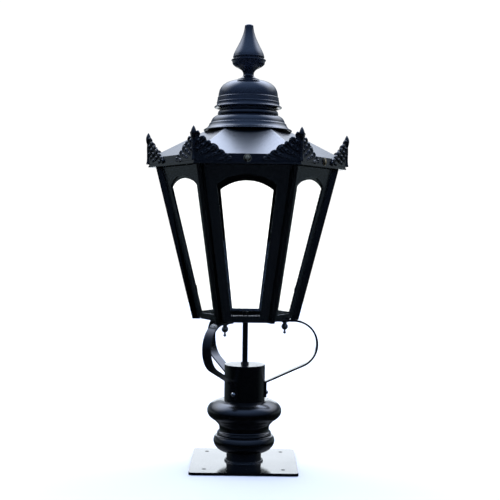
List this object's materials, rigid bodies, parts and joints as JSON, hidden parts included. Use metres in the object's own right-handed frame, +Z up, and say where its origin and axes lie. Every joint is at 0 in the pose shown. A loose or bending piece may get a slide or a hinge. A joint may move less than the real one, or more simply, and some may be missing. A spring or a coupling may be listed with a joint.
{
  "type": "pillar lantern",
  "caption": "Six-sided pillar lantern with glazed arched sides, leaf crowns, a vented roof and finial, on a short post with a cast pedestal and a bolt-down plate.",
  "frame": {"origin": "middle of the underside of the base plate", "axes": "+Z up along the post and the lantern, the front face looks along -Y, corners at 0, 60 and so on degrees round +Z from +X"},
  "size_m": [0.4436, 0.3852, 0.9571],
  "materials": {
    "black_coat": "satin",
    "black_casting": "satin",
    "black_alloy": "satin",
    "black_cast_alloy": "satin",
    "dark_screws": "satin",
    "bright_screws": "satin",
    "bronze_nuts": "satin",
    "nylon": "matte",
    "porcelain": "gloss",
    "lamp_brass": "satin",
    "bulb_glass": "gloss",
    "clear_pane": "gloss"
  },
  "bodies": {
    "base": {"base_plate": "black_coat", "post_tube": "black_coat", "pedestal_foot": "black_casting", "pedestal_bell": "black_casting", "casting_grubs": "dark_screws"},
    "head": {"frog_collar": "black_coat", "guide_sleeves": "nylon", "collar_cap": "black_coat", "leg_right": "black_coat", "leg_rear": "black_coat", "leg_front": "black_coat", "leg_screws": "bright_screws", "cable_tube": "black_coat", "tube_nuts": "dark_screws", "floor_plate": "black_coat", "floor_bolts": "bright_screws", "drop_nuts": "bronze_nuts", "bottom_frame": "black_coat", "corner_rib_1": "black_coat", "corner_rib_2": "black_coat", "corner_rib_3": "black_coat", "corner_rib_4": "black_coat", "corner_rib_5": "black_coat", "corner_rib_6": "black_coat", "side_panel_1": "black_coat", "side_panel_2": "black_coat", "side_panel_3": "black_coat", "side_panel_4": "black_coat", "side_panel_5": "black_coat", "side_panel_6": "black_coat", "pane_1": "clear_pane", "pane_2": "clear_pane", "pane_3": "clear_pane", "pane_4": "clear_pane", "pane_5": "clear_pane", "pane_6": "clear_pane", "pane_clips": "dark_screws", "top_frame": "black_coat"},
    "canopy": {"fascia": "black_coat", "fascia_screws": "bronze_nuts", "fascia_nuts": "bright_screws", "crown_1": "black_cast_alloy", "crown_2": "black_cast_alloy", "crown_3": "black_cast_alloy", "crown_4": "black_cast_alloy", "crown_5": "black_cast_alloy", "crown_6": "black_cast_alloy", "crown_nuts": "bright_screws", "roof": "black_coat", "chimney_ring": "black_alloy", "vent_neck": "black_alloy", "chimney_skirt": "black_alloy", "crossbar": "bright_screws", "stud": "bright_screws", "stud_nuts": "bright_screws", "dome": "black_alloy", "lampholder": "porcelain"},
    "lamp": {"lamp_cap": "lamp_brass", "lamp_bulb": "bulb_glass"},
    "finial": {"finial": "black_alloy"}
  },
  "joints": [
    {"name": "head_turn", "type": "hinge", "parent": "base", "child": "head", "pos_m": [0, 0, 0.18], "axis": [0, 0, 1], "continuous": true},
    {"name": "canopy_lift", "type": "slide", "parent": "head", "child": "canopy", "axis": [0, 0, 1], "range_m": [0, 0.15]},
    {"name": "lamp_turn", "type": "hinge", "parent": "canopy", "child": "lamp", "pos_m": [0, 0, 0.72], "axis": [0, 0, 1], "continuous": true},
    {"name": "finial_turn", "type": "hinge", "parent": "canopy", "child": "finial", "pos_m": [0, 0, 0.85], "axis": [0, 0, 1], "continuous": true}
  ]
}
